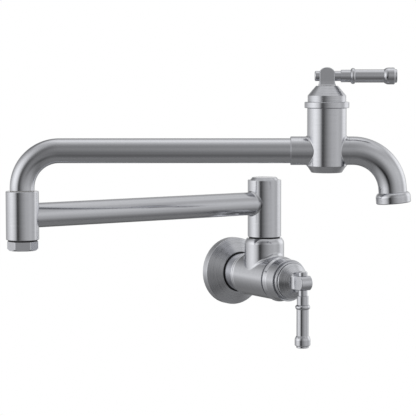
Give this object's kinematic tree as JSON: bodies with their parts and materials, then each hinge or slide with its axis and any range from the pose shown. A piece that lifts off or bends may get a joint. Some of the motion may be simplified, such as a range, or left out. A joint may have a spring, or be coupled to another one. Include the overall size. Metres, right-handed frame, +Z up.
{
  "type": "wall mounted pot filler",
  "caption": "Wall mounted pot filler tap with a lever valve at the wall, two swinging arms and a bent spout with its own lever valve.",
  "frame": {"origin": "centre of the threaded inlet in the wall plane", "axes": "+Y into the wall along the inlet, -Y out into the room, +Z up, +X to the viewer's right"},
  "size_m": [0.2976, 0.2475, 0.2551],
  "materials": {
    "brushed_steel_body": "fine brushed",
    "brushed_steel_tube": "fine brushed",
    "brushed_steel_trim": "fine brushed",
    "brass_inside": "machined",
    "steel_inside": "machined",
    "black_rubber": "matt",
    "black_washer": "matt",
    "white_washer": "matt",
    "disc_ceramic": "lapped ceramic",
    "screen_plastic": "moulded"
  },
  "bodies": {
    "wall_valve": {"wall_flange": "brushed_steel_trim", "flange_gasket": "black_rubber", "flange_grip_ring": "black_rubber", "inlet_adapter": "brass_inside", "adapter_o_rings": "black_rubber", "shank_set_screw": "steel_inside", "valve_body": "brushed_steel_body", "wall_seat_seal": "black_rubber", "wall_fixed_disc": "disc_ceramic", "wall_cartridge_body": "brass_inside", "wall_cartridge_o_ring": "black_rubber", "wall_cartridge_nut": "brass_inside", "wall_trim_ring": "brushed_steel_trim", "wall_bonnet": "brushed_steel_trim", "post_spindle": "steel_inside", "post_o_rings": "black_rubber", "post_base_washer": "black_washer", "post_top_washer": "white_washer", "post_nut": "brass_inside"},
    "wall_handle": {"wall_moving_disc": "disc_ceramic", "wall_stem": "brass_inside", "wall_hub": "brushed_steel_trim", "wall_lever_nut": "brushed_steel_trim", "wall_lever_rod": "brushed_steel_trim", "wall_lever_sleeve": "brushed_steel_trim", "wall_lever_collar": "brushed_steel_trim", "wall_lever_grip": "brushed_steel_trim", "wall_lever_cap": "brushed_steel_trim"},
    "inner_arm": {"swivel_post": "brushed_steel_body", "post_cap": "brushed_steel_body", "inner_arm_tube": "brushed_steel_tube", "knuckle_body": "brushed_steel_body"},
    "outer_arm": {"outer_arm_tube": "brushed_steel_tube", "knuckle_spindle": "steel_inside", "knuckle_o_rings": "black_rubber", "knuckle_top_washer": "white_washer", "knuckle_bottom_washer": "black_washer", "knuckle_nut": "brushed_steel_body", "spout_body": "brushed_steel_body", "spout_seat_seal": "black_rubber", "spout_fixed_disc": "disc_ceramic", "spout_cartridge_body": "brass_inside", "spout_cartridge_o_ring": "black_rubber", "spout_cartridge_nut": "brass_inside", "spout_trim_ring": "brushed_steel_trim", "spout_bonnet": "brushed_steel_trim", "spout_tube": "brushed_steel_tube", "outlet_collar": "brushed_steel_trim", "aerator_washer": "black_rubber", "aerator_body": "screen_plastic", "aerator_screen": "screen_plastic"},
    "spout_handle": {"spout_moving_disc": "disc_ceramic", "spout_stem": "brass_inside", "spout_hub": "brushed_steel_trim", "spout_lever_nut": "brushed_steel_trim", "spout_lever_rod": "brushed_steel_trim", "spout_lever_sleeve": "brushed_steel_trim", "spout_lever_collar": "brushed_steel_trim", "spout_lever_grip": "brushed_steel_trim", "spout_lever_cap": "brushed_steel_trim"}
  },
  "joints": [
    {"name": "post_swivel", "type": "hinge", "parent": "wall_valve", "child": "inner_arm", "pos_m": [0, -0.0572, 0.0687], "axis": [0, 0, 1], "range_deg": [0, 180]},
    {"name": "knuckle_swivel", "type": "hinge", "parent": "inner_arm", "child": "outer_arm", "pos_m": [-0.2514, -0.0572, 0.0687], "axis": [0, 0, 1], "continuous": true},
    {"name": "wall_lever_turn", "type": "hinge", "parent": "wall_valve", "child": "wall_handle", "pos_m": [0, -0.119, 0], "axis": [0, -1, 0], "range_deg": [0, 90]},
    {"name": "spout_lever_turn", "type": "hinge", "parent": "outer_arm", "child": "spout_handle", "pos_m": [-0.03409, -0.20103, 0.1882], "axis": [0, 0, 1], "range_deg": [-90, 0]}
  ]
}
